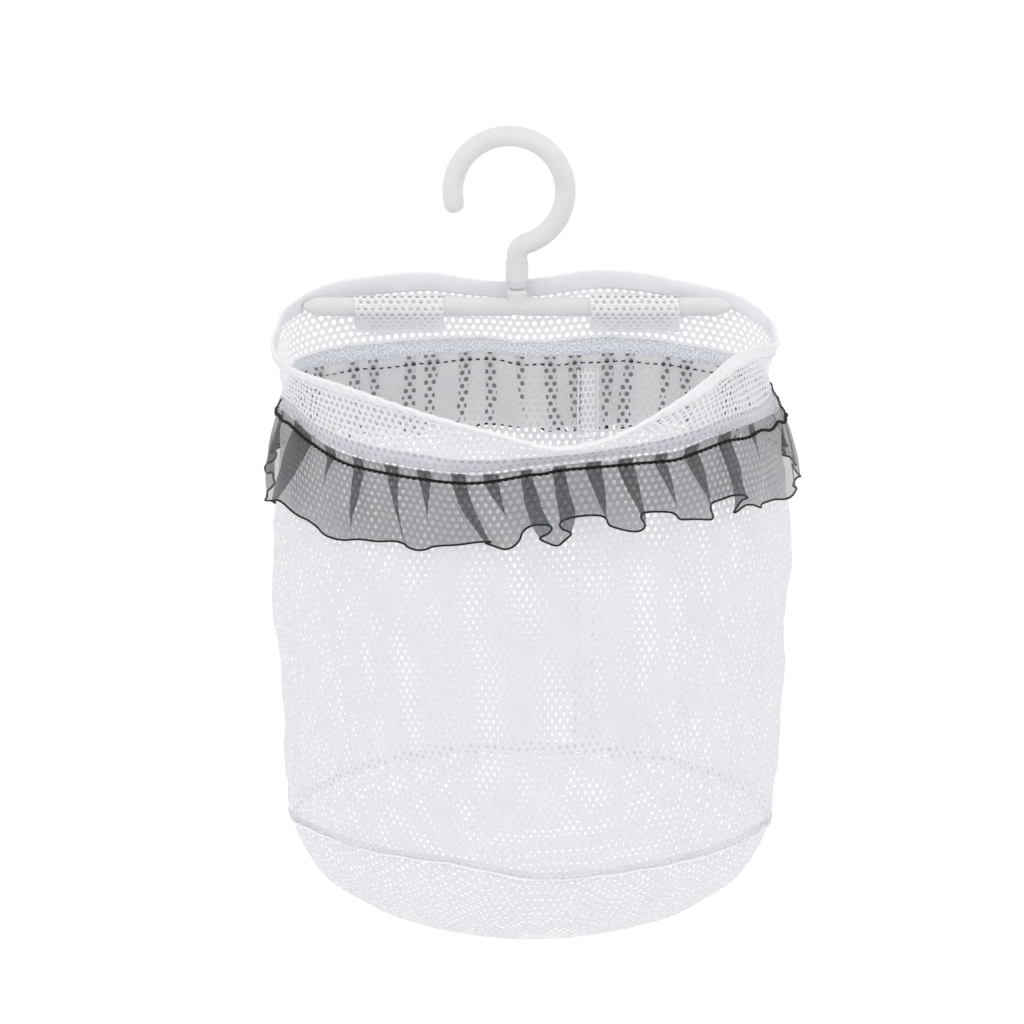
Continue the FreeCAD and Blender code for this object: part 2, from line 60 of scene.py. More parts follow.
BAR_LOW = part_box("hanger_bar")[0]
BAR_RADIUS = 5.25 * MM
BAR_Z = BAR_LOW.z + BAR_RADIUS
WALL_LOW, WALL_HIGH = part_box("body_mesh")
BAG_X = (WALL_LOW.x + WALL_HIGH.x) / 2
FOOT_LOW, FOOT_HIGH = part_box("base_panel")
FOOT_Z = WALL_LOW.z
FOOT_Y = (FOOT_LOW.y + FOOT_HIGH.y) / 2
BASE_DROP = FOOT_Z - FOOT_LOW.z
RIM_LOW, RIM_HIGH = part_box("rim_binding")

# --- The bag's outlines: rounded D shapes, (half width, back, corner radius, front centre) ---------

SEAM = np.array([138.0, 10.5, 45.0, -102.0]) * MM
GIRTH = np.array([141.0, 11.0, 90.0, -112.0]) * MM
FOOT_R = (FOOT_HIGH.x - FOOT_LOW.x) / 2 + 3.0 * MM
FOOT = np.array([FOOT_R, FOOT_Y + FOOT_R, FOOT_R, FOOT_Y])
RIM = np.array([(RIM_HIGH.x - RIM_LOW.x) / 2 - 0.45 * MM, RIM_HIGH.y - 0.45 * MM, 28.0 * MM, -102.0 * MM])
SEAM_Z = BAR_Z - 34.0 * MM
SEAM_SLOPE = math.tan(math.radians(1.54))
COLLAR = 50.0 * MM
SIDE = SEAM_Z - FOOT_Z
# The side wall is parted at this height into the top behind the ruffle and the part below.
HELD = 50.0 * MM
FOLD_Z = SEAM_Z - HELD
BIND = 10.3 * MM
BIND_START = 1 - BIND / COLLAR

# The places and sizes in the next tables follow one real bag. Those of the rim, the seam, the foot and the
# front pleats come wholly or partly from a measuring script. That is a fault, and report.md lists them.

# The rim of the mouth: (around, outward of the plain outline in mm, above the bar in mm).
RIM_LINE = (
    (-0.475, 0.0, 12.7), (-0.437, 0.0, 17.7), (-0.405, 0.0, 15.7), (-0.380, 0.0, 12.2),
    (-0.347, -1.0, 3.0), (-0.300, 2.0, -0.5), (-0.262, 4.0, 0.0), (-0.212, 1.0, 0.5),
    (-0.162, 6.0, 5.0), (-0.111, 10.0, 6.0), (-0.058, 18.0, 0.0), (-0.016, 28.0, -7.0),
    (0.014, 32.0, -14.0), (0.042, 26.0, -10.0), (0.076, 16.0, 1.5), (0.104, 8.0, 9.8),
    (0.133, -4.0, 12.5), (0.171, -14.0, 11.0), (0.216, -11.0, 7.5), (0.252, -3.0, 1.0),
    (0.300, -3.0, -3.5), (0.343, -3.0, -5.0), (0.380, 0.0, 7.0), (0.408, 0.0, 12.8),
    (0.430, 0.0, 16.9), (0.464, 0.0, 18.7), (0.492, 0.0, 14.7),
)
# How far the collar bends out at mid height, and how far its binding turns over, (around, mm).
BELLY_LINE = (
    (-0.5, 1.0), (-0.40, 1.0), (-0.31, -2.0), (-0.25, -3.0), (-0.19, -2.0), (-0.12, 1.5), (-0.05, 1.0),
    (0.02, 2.0), (0.10, 2.0), (0.17, -3.0), (0.23, -6.0), (0.28, -5.0), (0.34, -2.0), (0.42, 1.0),
)
TURN_LINE = (
    (-0.5, 0.0), (-0.23, 0.0), (-0.19, 2.5), (-0.15, 5.0), (-0.06, 5.5), (-0.02, 2.0),
    (0.02, 0.0), (0.25, 0.0),
)
# How far the ruffle's seam rides up or down, (around, mm).
SEAM_LINE = (
    (-0.30, 0.0), (-0.24, 3.0), (-0.177, 7.5), (-0.156, 4.2), (-0.115, -0.2), (-0.073, -0.4),
    (-0.047, -1.0), (-0.024, 1.0), (0.005, 6.2), (0.030, 8.2), (0.055, 8.5), (0.088, 7.4),
    (0.125, 10.0), (0.173, 6.6), (0.20, 4.0), (0.24, 0.5),
    (0.30, -1.0), (0.38, -7.0), (0.40, -5.0), (0.42, -2.3), (0.45, -0.8), (0.47, -2.0),
    (-0.49, -2.0), (-0.476, 0.5), (-0.45, -0.8), (-0.41, -4.2), (-0.37, -6.5), (-0.345, -5.0),
)
# How far the foot rides up or down, (around, mm).
FOOT_LINE = (
    (-0.40, 0.0), (-0.27, -1.0), (-0.225, 3.0), (-0.182, 8.0), (-0.12, 9.0), (-0.08, 9.6),
    (-0.046, 9.0), (-0.02, 5.5), (0.0, 3.0), (0.03, 3.0), (0.077, 4.0), (0.122, 4.4),
    (0.17, 4.0), (0.206, 2.5), (0.26, -2.5), (0.35, -1.0), (0.48, 0.0),
)
# The ruffle's drop below its seam, (around, mm).
RUFFLE_DROP = (
    (-0.40, 38.0), (-0.27, 33.0), (-0.22, 38.0), (-0.17, 43.0),
    (-0.10, 41.5), (-0.06, 38.5), (-0.03, 35.0), (0.0, 31.5), (0.07, 31.5), (0.12, 33.5),
    (0.16, 36.5), (0.20, 36.5), (0.27, 36.0), (0.40, 36.0), (0.46, 40.0),
)
# Long soft folds in the side wall: (around, lean, width, depth in mm, top, bottom), shares of the wall.
FOLDS = (
    (-0.205, 0.010, 0.016, -3.2, 0.05, 1.10), (-0.170, -0.012, 0.014, 2.6, 0.10, 1.05),
    (-0.110, 0.014, 0.020, -1.8, 0.30, 1.00), (-0.062, 0.034, 0.009, -3.0, 0.16, 0.66),
    (-0.020, -0.022, 0.010, -3.0, 0.16, 0.62), (-0.040, 0.004, 0.014, 2.2, 0.14, 0.55),
    (0.030, 0.010, 0.022, -1.4, 0.25, 1.00), (0.088, 0.006, 0.010, 3.6, 0.12, 1.06),
    (0.108, 0.004, 0.010, -3.0, 0.12, 1.06), (0.066, 0.010, 0.010, -2.0, 0.20, 0.95),
    (0.160, 0.010, 0.012, 3.0, 0.10, 1.05), (0.180, 0.004, 0.012, -3.2, 0.10, 1.05),
    (0.240, -0.010, 0.020, 2.4, 0.10, 1.05), (0.300, 0.010, 0.020, -3.0, 0.05, 1.00),
    (0.360, -0.008, 0.018, 3.0, 0.05, 0.80), (0.430, 0.012, 0.020, -2.6, 0.10, 1.00),
    (0.480, -0.006, 0.018, 2.2, 0.10, 1.00), (-0.450, 0.010, 0.020, -2.6, 0.10, 0.95),
    (-0.390, -0.008, 0.018, 3.0, 0.05, 0.90), (-0.330, 0.010, 0.018, -3.0, 0.05, 1.00),
    (-0.265, 0.000, 0.020, 2.2, 0.10, 1.05),
)


def periodic(line, around):
    """A smooth closed curve through (around, value) knots, by Catmull-Rom spans of unequal length."""
    knots = sorted(line)
    places = np.array([knot[0] for knot in knots])
    values = np.array([knot[1] for knot in knots], float)
    places = np.concatenate([places[-2:] - 1, places, places[:2] + 1])
    values = np.concatenate([values[-2:], values, values[:2]])
    slopes = np.gradient(values, places)
    at = (np.asarray(around, float) + 0.5) % 1.0 - 0.5
    span = np.clip(np.searchsorted(places, at) - 1, 0, len(places) - 2)
    width = places[span + 1] - places[span]
    share = (at - places[span]) / width
    square, cube = share**2, share**3
    return (
        (2 * cube - 3 * square + 1) * values[span]
        + (cube - 2 * square + share) * width * slopes[span]
        + (3 * square - 2 * cube) * values[span + 1]
        + (cube - square) * width * slopes[span + 1]
    )


def column(line, number):
    """One value column of a table of knots, as (around, value) pairs."""
    return [(row[0], row[number]) for row in line]


def outline(around, shape):
    """Point and outward direction on a rounded D at a share of the way round from its front."""
    half_width, back, corner, front = (np.asarray(value, float) for value in shape)
    turned = (np.asarray(around, float) + 0.5) % 1.0 - 0.5
    side, share = np.sign(turned), np.abs(turned) * 2
    belly, bend = half_width * math.pi / 2, corner * math.pi / 2
    straight, flat = back - corner - front, half_width - corner
    along = share * (belly + straight + bend + flat)
    angle = np.clip(along / half_width, 0, math.pi / 2)
    up = np.clip(along - belly, 0, straight)
    rest = np.clip(along - belly - straight, 0, bend)
    turn = np.divide(rest, corner, out=np.zeros_like(rest), where=corner > 0)
    over = np.clip(along - belly - straight - bend, 0, flat)
    in_bend = along > belly + straight
    x = np.where(in_bend, flat + corner * np.cos(turn) - over, half_width * np.sin(angle))
    y = np.where(in_bend, back - corner + corner * np.sin(turn), front - half_width * np.cos(angle) + up)
    out_x = np.where(in_bend, np.cos(turn), np.sin(angle))
    out_y = np.where(in_bend, np.sin(turn), -np.cos(angle))
    side = np.where(side == 0, 1, side)
    return x * side, y, out_x * side, out_y


def bell(distance, width):
    return np.exp(-((distance / width) ** 2))


def wrapped(distance):
    return (distance + 0.5) % 1.0 - 0.5


def smooth(share):
    share = np.clip(share, 0, 1)
    return share * share * (3 - 2 * share)


def ripple(around, down):
    """Fine unevenness of the hanging net, periodic round the bag."""
    waves = (
        (7, 2.1, 0.3, 0.9), (13, -3.4, 1.9, 0.6), (19, 5.2, 4.1, 0.45),
        (31, -7.3, 2.6, 0.3), (43, 9.1, 5.3, 0.2),
    )
    return MM * sum(
        size * np.sin(2 * math.pi * (turns * around + drift * down) + phase)
        for turns, drift, phase, size in waves
    )


def wall_folds(around, down):
    """How far the side wall stands in or out of its plain shape."""
    total = ripple(around, down) * smooth(down * 5)
    for place, lean, width, depth, top, bottom in FOLDS:
        across = wrapped(around - place - lean * down)
        held = smooth((down - top) / 0.2) * smooth((bottom - down) / 0.25)
        total = total + depth * MM * bell(across, width) * held
    return total


def mixed(first, second, share):
    """A station between two others, one value for each point."""
    return [a + (b - a) * share for a, b in zip(first, second)]


def foot_height(around):
    """Height of the seam between the side wall and the base."""
    return FOOT_Z + periodic(FOOT_LINE, around) * MM


DRAWN_IN = 5.5 * MM
DRAWN_AT = 0.315


def drawn_in(around, away):
    """How far the gathered seam draws the cloth in at the back of each side, fading away from the seam."""
    return -DRAWN_IN * bell(np.abs(wrapped(around)) - DRAWN_AT, 0.045) * (1 - smooth(away))


def wall(around, down):
    """The side wall at a share of the way down from the seam to the foot."""
    to_girth = smooth(down / 0.4)
    to_foot = smooth((down - 0.25) / 0.75)
    shape = mixed(mixed(SEAM, GIRTH, to_girth), FOOT, to_foot)
    x, y, out_x, out_y = outline(around, shape)
    top = seam_height(around)
    z = top + (foot_height(around) - top) * down
    depth = wall_folds(around, down) + drawn_in(around, down / 0.3)
    return np.stack([x + out_x * depth + BAG_X, y + out_y * depth, z], -1)


def seam_height(around):
    """Height of the ruffle's seam."""
    y = outline(around, SEAM)[1]
    return SEAM_Z + y * SEAM_SLOPE + periodic(SEAM_LINE, around) * MM


def collar(around, up):
    """The collar at a share of the way up from the seam to the rim."""
    x0, y0, out_x, out_y = outline(around, SEAM)
    x1, y1, rim_x, rim_y = outline(around, RIM)
    flare = periodic(column(RIM_LINE, 1), around) * MM
    x1, y1 = x1 + rim_x * flare, y1 + rim_y * flare
    z0, z1 = seam_height(around), BAR_Z + periodic(column(RIM_LINE, 2), around) * MM
    belly = periodic(BELLY_LINE, around) * MM * 4 * up * (1 - up)
    belly = belly + ripple(around * 2, up) * 0.5 * smooth(up * 3) * smooth((1 - up) * 4)
    share = np.minimum(up / BIND_START, (1 - up) / (1 - BIND_START)) ** 1.3
    turned = share * periodic(TURN_LINE, around) * MM
    belly = belly + drawn_in(around, up / 0.8)
    middle = bell(wrapped(around - 0.03), 0.10)
    reach = up ** (1.0 - 0.45 * smooth((np.abs(wrapped(around)) - 0.30) / 0.06) + 0.4 * middle)
    x = x0 + (x1 - x0) * reach + out_x * (belly - turned)
    y = y0 + (y1 - y0) * reach + out_y * (belly - turned)
    z = z0 + (z1 - z0) * up + 0.25 * turned + 18 * MM * middle * up * (1 - up)
    return np.stack([x + BAG_X, y, z], -1)


def cloth(around, height):
    """Points on the bag's cloth: the collar above the ruffle's seam and the side wall below it."""
    around, height = np.broadcast_arrays(np.asarray(around, float), np.asarray(height, float))
    above = collar(around, np.clip(height, 0, COLLAR) / COLLAR)
    below = wall(around, np.clip(-height, 0, SIDE) / SIDE)
    return np.where((height > 0)[..., None], above, below)


def bag(around, height, out=0.0):
    """Points on the bag's cloth, moved out along its own normal."""
    around, height, out = np.broadcast_arrays(*(np.asarray(v, float) for v in (around, height, out)))
    step_around, step_height = 4e-4, 4e-4
    here = cloth(around, height)
    along = cloth(around + step_around, height) - cloth(around - step_around, height)
    limit = np.clip(height, -SIDE + step_height, COLLAR - step_height)
    upward = cloth(around, limit + step_height) - cloth(around, limit - step_height)
    normal = np.cross(along, upward)
    normal /= np.linalg.norm(normal, axis=-1, keepdims=True)
    return here + normal * out[..., None]


# The base hangs as a shallow bowl, whose slope goes by the length of cloth from its middle.
BASE_R = FOOT_R - 1.0 * MM


def base_profile():
    """Radius and height along the base's cloth from its middle to its rim."""
    steps = np.linspace(0, 1, 400)
    turn_up = 66 * np.clip((steps - 0.42) / 0.58, 0, 1) ** 1.15
    slope = np.radians(1.5 + 10 * smooth((steps - 0.30) / 0.25) + turn_up)
    radius = np.concatenate([[0], np.cumsum(np.cos(slope[1:]))])
    height = np.concatenate([[0], np.cumsum(np.sin(slope[1:]))])
    radius, height = radius / radius[-1] * BASE_R, height / height[-1] * BASE_DROP - BASE_DROP
    cloth_length = np.concatenate([[0], np.cumsum(np.hypot(np.diff(radius), np.diff(height)))])
    return cloth_length, radius, height


BASE_LENGTH, BASE_RADIUS, BASE_HEIGHT = base_profile()
BASE_S = BASE_LENGTH[-1]


def base_cloth(x, y):
    """A flat disc of cloth mapped on to the sagging base."""
    reach = np.minimum(np.hypot(x, y), BASE_S)
    angle = np.arctan2(y, x)
    radius = np.interp(reach, BASE_LENGTH, BASE_RADIUS)
    height = np.interp(reach, BASE_LENGTH, BASE_HEIGHT)
    share = reach / BASE_S
    edge = smooth((share - 0.5) / 0.35) * smooth((1.0 - share) / 0.1)
    crease = 1.1 * np.sin(17 * angle + 1.2 + 3 * share)
    crease = crease + 0.8 * np.sin(29 * angle + 0.4) + 0.6 * np.sin(41 * angle + 2.1)
    low = smooth((0.75 - share) / 0.4)
    sag = -1.2 * low * np.sin(3 * angle + 0.8) * share * 2 - 0.8 * low * np.sin(2 * angle + 2.4) * share * 2
    height = height + (crease * edge + sag) * MM
    rim = periodic(FOOT_LINE, angle / (2 * math.pi) + 0.25) * MM * share**4
    x, y = BAG_X + radius * np.cos(angle), FOOT_Y + radius * np.sin(angle)
    return np.stack([x, y, FOOT_Z + height + rim], -1)


# --- Mesh helpers -------------------------------------------------------------------------------

# The way round the bag at the ruffle's seam.
ROUND = 0.896


def make(name, points, faces, uvs, material, body, slot, nodes=()):
    """A mesh object in the frame, riding a body, with one UV pair for each point."""
    mesh = bpy.data.meshes.new(name)
    mesh.from_pydata(np.asarray(points).reshape(-1, 3).tolist(), [], faces)
    layer = mesh.uv_layers.new(name="cloth").data
    corners = np.empty(len(mesh.loops), dtype=np.int32)
    mesh.loops.foreach_get("vertex_index", corners)
    layer.foreach_set("uv", np.asarray(uvs, float).reshape(-1, 2)[corners].ravel())
    mesh.polygons.foreach_set("use_smooth", [True] * len(mesh.polygons))
    mesh.materials.append(material)
    mesh.update()
    obj = bpy.data.objects.new(name, mesh)
    bpy.context.scene.collection.objects.link(obj)
    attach(obj, body)
    if nodes:
        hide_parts(*nodes)
    return obj


def grid_faces(rows, columns, closed):
    """Quads over a grid of points stored row by row; closed joins the last column to the first."""
    count = columns if closed else columns - 1
    faces = []
    for r in range(rows - 1):
        for c in range(count):
            here, beside = r * columns + c, r * columns + (c + 1) % columns
            faces.append((here, beside, beside + columns, here + columns))
    return faces


def tube(line, radius, sides=8, closed=False, out=None):
    """Points and quads of a tube along a line; radius is one number or one for each point."""
    line = np.asarray(line, float)
    radius = np.broadcast_to(np.asarray(radius, float), (len(line),))
    ahead = np.roll(line, -1, 0) - np.roll(line, 1, 0)
    if not closed:
        ahead[0], ahead[-1] = line[1] - line[0], line[-1] - line[-2]
    ahead /= np.linalg.norm(ahead, axis=1, keepdims=True)
    guide = np.array([0.0, 0.0, 1.0]) if out is None else np.asarray(out, float)
    side = np.cross(ahead, np.broadcast_to(guide, ahead.shape))
    side /= np.linalg.norm(side, axis=1, keepdims=True)
    top = np.cross(side, ahead)
    turns = np.arange(sides) * 2 * math.pi / sides
    across, over = np.cos(turns)[None, :, None], np.sin(turns)[None, :, None]
    ring = across * side[:, None] + over * top[:, None]
    points = line[:, None] + ring * radius[:, None, None]
    rows = len(line)
    faces = []
    for r in range(rows if closed else rows - 1):
        for s in range(sides):
            n, t = (r + 1) % rows, (s + 1) % sides
            faces.append((r * sides + s, n * sides + s, n * sides + t, r * sides + t))
    if not closed:
        faces.append(tuple(range(sides)))
        faces.append(tuple(reversed([(rows - 1) * sides + s for s in range(sides)])))
    return points.reshape(-1, 3), faces


def joined(parts):
    """Several (points, faces) pairs as one."""
    points, faces, first = [], [], 0
    for part_points, part_faces in parts:
        points.append(part_points)
        faces += [tuple(i + first for i in face) for face in part_faces]
        first += len(part_points)
    return np.concatenate(points), faces


def chosen(points, faces, uvs, keep):
    """The faces that keep holds for, with only their own points and UVs."""
    faces = [face for face, kept in zip(faces, keep) if kept]
    used = np.unique(np.concatenate([np.array(face) for face in faces]))
    place = np.full(len(points), -1)
    place[used] = np.arange(len(used))
    return points[used], [tuple(int(place[i]) for i in face) for face in faces], uvs[used]


def parted(name, points, faces, uvs, material, slot, nodes=()):
    """A piece of the side wall in two: the top behind the ruffle, and the part below."""
    high = np.array([points[list(face), 2].mean() > FOLD_Z for face in faces])
    top = make(f"{name}_top", *chosen(points, faces, uvs, high), material, "bag", slot)
    low = make(name, *chosen(points, faces, uvs, ~high), material, "bag", slot, nodes)
    return top, low


# --- Net ----------------------------------------------------------------------------------------

PITCH = 4.52 * MM
ROW = PITCH * math.sqrt(3) / 2
STRAND = 0.42
CORNER_ANGLES = [math.pi / 6 + k * math.pi / 3 for k in range(6)]
CORNERS = [(math.cos(angle) / math.sqrt(3), math.sin(angle) / math.sqrt(3)) for angle in CORNER_ANGLES]


def net_cells(columns, rows, closed):
    """Cell places (column, row) in pitches, with rows staggered by half a pitch."""
    cells = {}
    for r in range(rows):
        for c in range(columns if closed or r % 2 == 0 else columns - 1):
            cells[c, r] = (c + 0.5 * (r % 2), r * math.sqrt(3) / 2)
    return cells


def neighbours(cell, columns, closed):
    """The cells to the right, upper right and upper left."""
    c, r = cell
    shift = r % 2
    found = [(c + 1, r), (c + shift, r + 1), (c + shift - 1, r + 1)]
    return [((i % columns) if closed else i, j) for i, j in found]


def net(columns, rows, closed, keep=None, strand=STRAND):
    """Flat honeycomb net: hole corners in pitches, and the strands and joins between the holes."""
    cells = net_cells(columns, rows, closed)
    if keep is not None:
        cells = {cell: place for cell, place in cells.items() if keep(*place)}
    start, places = {}, []
    for cell, (x, y) in cells.items():
        start[cell] = len(places)
        places += [(x + (1 - strand) * u, y + (1 - strand) * v) for u, v in CORNERS]
    faces = []
    for cell in cells:
        here = start[cell]
        right, upper, left = (start.get(near) for near in neighbours(cell, columns, closed))
        if right is not None:
            faces.append((here + 5, right + 3, right + 2, here + 0))
        if upper is not None:
            faces.append((here + 0, upper + 4, upper + 3, here + 1))
        if left is not None:
            faces.append((here + 1, left + 5, left + 4, here + 2))
        if right is not None and upper is not None:
            faces.append((here + 0, right + 2, upper + 4))
        if upper is not None and left is not None:
            faces.append((here + 1, upper + 3, left + 5))
    return np.array(places), faces


# --- Materials ----------------------------------------------------------------------------------

def shader(name, colour, roughness, **inputs):
    """A material, with its nodes, its links and its principled node ready to add to."""
    material = bpy.data.materials.new(name)
    material.use_nodes = True
    nodes, links = material.node_tree.nodes, material.node_tree.links
    base = nodes["Principled BSDF"]
    base.inputs["Base Color"].default_value = (*colour, 1)
    base.inputs["Roughness"].default_value = roughness
    for key, value in inputs.items():
        base.inputs[key.replace("_", " ")].default_value = value
    return material, nodes, links, base


def add(nodes, kind, **values):
    """A node with its sockets or properties set by name."""
    node = nodes.new(kind)
    for key, value in values.items():
        if hasattr(node, key):
            setattr(node, key, value)
        else:
            node.inputs[key.replace("_", " ")].default_value = value
    return node


def tint(nodes, links, base, source, dark, light, low=0.3, high=0.7):
    """Base colour that runs from dark to light with a texture's value."""
    ramp = add(nodes, "ShaderNodeValToRGB")
    ramp.color_ramp.elements[0].position, ramp.color_ramp.elements[1].position = low, high
    ramp.color_ramp.elements[0].color, ramp.color_ramp.elements[1].color = (*dark, 1), (*light, 1)
    links.new(source, ramp.inputs["Fac"])
    links.new(ramp.outputs["Color"], base.inputs["Base Color"])


def relief(nodes, links, base, source, strength, depth):
    """A bump on the surface from a texture's value."""
    bump = add(nodes, "ShaderNodeBump", Strength=strength, Distance=depth)
    links.new(source, bump.inputs["Height"])
    links.new(bump.outputs["Normal"], base.inputs["Normal"])


def plastic():
    """Moulded white plastic with a faint unevenness in tone and surface."""
    material, nodes, links, base = shader("white_plastic", (0.70, 0.70, 0.71), 0.42, IOR=1.4)
    place = add(nodes, "ShaderNodeTexCoord")
    noise = add(nodes, "ShaderNodeTexNoise", Scale=60.0, Detail=4.0)
    links.new(place.outputs["Object"], noise.inputs["Vector"])
    tint(nodes, links, base, noise.outputs["Fac"], (0.68, 0.68, 0.695), (0.715, 0.715, 0.725))
    fine = add(nodes, "ShaderNodeTexNoise", Scale=900.0, Detail=2.0)
    links.new(place.outputs["Object"], fine.inputs["Vector"])
    relief(nodes, links, base, fine.outputs["Fac"], 0.08, 0.0002)
    return material


def net_cloth(name, dark, light, glow_share):
    """Warp-knit polyester: fine loops along each strand, and light comes through it from behind."""
    material, nodes, links, base = shader(name, light, 0.62, Sheen_Weight=0.2, Sheen_Roughness=0.5)
    place = add(nodes, "ShaderNodeTexCoord")
    noise = add(nodes, "ShaderNodeTexNoise", Scale=35.0, Detail=3.0)
    links.new(place.outputs["Object"], noise.inputs["Vector"])
    tint(nodes, links, base, noise.outputs["Fac"], dark, light)
    loops = add(nodes, "ShaderNodeTexVoronoi", Scale=2600.0)
    links.new(place.outputs["Object"], loops.inputs["Vector"])
    relief(nodes, links, base, loops.outputs["Distance"], 0.5, 0.0002)
    glow = add(nodes, "ShaderNodeBsdfTranslucent", Color=(*light, 1))
    mix = add(nodes, "ShaderNodeMixShader", Fac=glow_share)
    links.new(base.outputs["BSDF"], mix.inputs[1])
    links.new(glow.outputs["BSDF"], mix.inputs[2])
    links.new(mix.outputs["Shader"], nodes["Material Output"].inputs["Surface"])
    return material


def woven(name, dark, light, across, along, strength, speck=None):
    """Woven tape: ribs across and yarns along the strip, read from the cloth's own UV in metres."""
    material, nodes, links, base = shader(name, light, 0.66, Sheen_Weight=0.3, Sheen_Roughness=0.45)
    place = add(nodes, "ShaderNodeTexCoord")
    waves = []
    for direction, count in (("X", across), ("Y", along)):
        wave = add(nodes, "ShaderNodeTexWave", Scale=count, Distortion=0.6, Detail=1.0,
                   bands_direction=direction)
        links.new(place.outputs["UV"], wave.inputs["Vector"])
        waves.append(wave)
    product = add(nodes, "ShaderNodeMath", operation="MULTIPLY")
    links.new(waves[0].outputs["Fac"], product.inputs[0])
    links.new(waves[1].outputs["Fac"], product.inputs[1])
    source = product.outputs["Value"]
    if speck is not None:
        dots = add(nodes, "ShaderNodeTexNoise", Scale=speck, Detail=2.0, Roughness=0.7)
        links.new(place.outputs["UV"], dots.inputs["Vector"])
        source = dots.outputs["Fac"]
    low, high = (0.1, 0.6) if speck is None else (0.36, 0.58)
    tint(nodes, links, base, source, dark, light, low, high)
    relief(nodes, links, base, product.outputs["Value"], strength, 0.0003)
    return material


def organza():
    """Sheer black organza, see-through all over."""
    material, nodes, links, base = shader(
        "black_organza", (0.016, 0.022, 0.026), 0.42, Alpha=0.46, Specular_IOR_Level=0.25)
    place = add(nodes, "ShaderNodeTexCoord")
    noise = add(nodes, "ShaderNodeTexNoise", Scale=55.0, Detail=2.0)
    links.new(place.outputs["Object"], noise.inputs["Vector"])
    tint(nodes, links, base, noise.outputs["Fac"], (0.010, 0.015, 0.018), (0.026, 0.036, 0.042))
    return material


PLASTIC = plastic()
NET = net_cloth("white_net", (0.78, 0.78, 0.815), (0.83, 0.83, 0.855), 0.48)
# The same white net as NET, made lighter and letting less light through. The lighter colour is painted light
# that makes up for the shade the bar and the bag's inside cast on the sleeves and the back seam.
BRIGHTENED_NET = net_cloth("white_net_painted_light", (0.90, 0.90, 0.915), (0.93, 0.93, 0.94), 0.2)
TAPE = woven("white_tape", (0.85, 0.85, 0.885), (0.92, 0.92, 0.935), 900.0, 700.0, 0.5)
SEAM_TAPE = woven("white_tape_inside", (0.44, 0.46, 0.54), (0.86, 0.87, 0.91), 700.0, 500.0, 0.4, speck=900.0)
THREAD = shader("white_thread", (0.82, 0.82, 0.85), 0.6, Sheen_Weight=0.3)[0]
ORGANZA = organza()
HEM = shader("black_hem", (0.010, 0.010, 0.012), 0.6, Specular_IOR_Level=0.25)[0]
BLACK_THREAD = shader("black_thread", (0.006, 0.006, 0.008), 0.6, Specular_IOR_Level=0.2)[0]

# --- Hook, ferrule, pin and bar: the frame's own solids, with their finish ---------------------------

for node in ("hook", "hook_ferrule", "swivel_pin", "hanger_bar"):
    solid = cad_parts[node]
    solid.data.materials.clear()
    solid.data.materials.append(PLASTIC)

# --- Net panels ---------------------------------------------------------------------------------

COLUMNS = 198
ROWS = 72


def side_nets():
    """The collar and the side wall: one lattice of net, parted at the ruffle's seam."""
    flat, faces = net(COLUMNS, ROWS, True)
    x, y = flat[:, 0], flat[:, 1]
    share = (y - y.min()) / (y.max() - y.min())
    height = -SIDE + (SIDE + COLLAR - 1.5 * MM) * share
    corners = x.reshape(-1, 6)
    middle = corners.mean(1, keepdims=True)
    # The holes narrow below the ruffle, where the net's own weight draws it out.
    hole_width = 0.96 - 0.24 * smooth((-height.reshape(-1, 6) - 18 * MM) / (30 * MM))
    x = (middle + (corners - middle) * hole_width).ravel()
    points = bag(x / COLUMNS, height)
    uvs = np.stack([x * PITCH, y * PITCH], 1)
    above = np.array([height[list(face)].mean() > 0 for face in faces])
    over = make("collar_net", *chosen(points, faces, uvs, above), NET, "bag", "white_net", ("collar_mesh",))
    return over, *parted("body_net", *chosen(points, faces, uvs, ~above), NET, "white_net", ("body_mesh",))


collar_net, body_top, body_net = side_nets()


def base_net():
    """A disc of net on the sagging base."""
    count = 2 * int(BASE_S / PITCH) + 4
    rows = 2 * int(BASE_S / ROW) + 4
    middle = (count / 2, rows * math.sqrt(3) / 4)
    limit = BASE_S / PITCH + 0.35

    def inside(x, y):
        return math.hypot(x - middle[0], y - middle[1]) < limit

    flat, faces = net(count, rows, False, keep=inside)
    x, y = (flat[:, 0] - middle[0]) * PITCH, (flat[:, 1] - middle[1]) * PITCH
    faces = [tuple(reversed(face)) for face in faces]
    uvs = np.stack([x, y], 1)
    return make("base_net", base_cloth(x, y), faces, uvs, NET, "base", "white_net", ("base_panel",))


base_panel = base_net()

# --- Sleeves round the bar --------------------------------------------------------------------------

TAIL_Z = BAR_Z - 17.0 * MM
TAIL_Y = 8.6 * MM


def sleeve_line(out):
    """The sleeve's section: up from its tail behind the bar, over it and down the front."""
    radius = BAR_RADIUS + 0.7 * MM + out
    turns = np.radians(np.linspace(-28, 222, 40))
    loop = np.stack([radius * np.cos(turns), BAR_Z + radius * np.sin(turns)], 1)
    back = np.array([TAIL_Y + out * 0.3, TAIL_Z])
    front = np.array([TAIL_Y - 1.0 * MM - out * 0.8, TAIL_Z])
    line = np.concatenate([[back], loop, [(loop[-1] + front) / 2 + np.array([0.5 * MM, 0]), front]])
    step = np.concatenate([[0], np.cumsum(np.hypot(*np.diff(line, axis=0).T))])
    return line, step


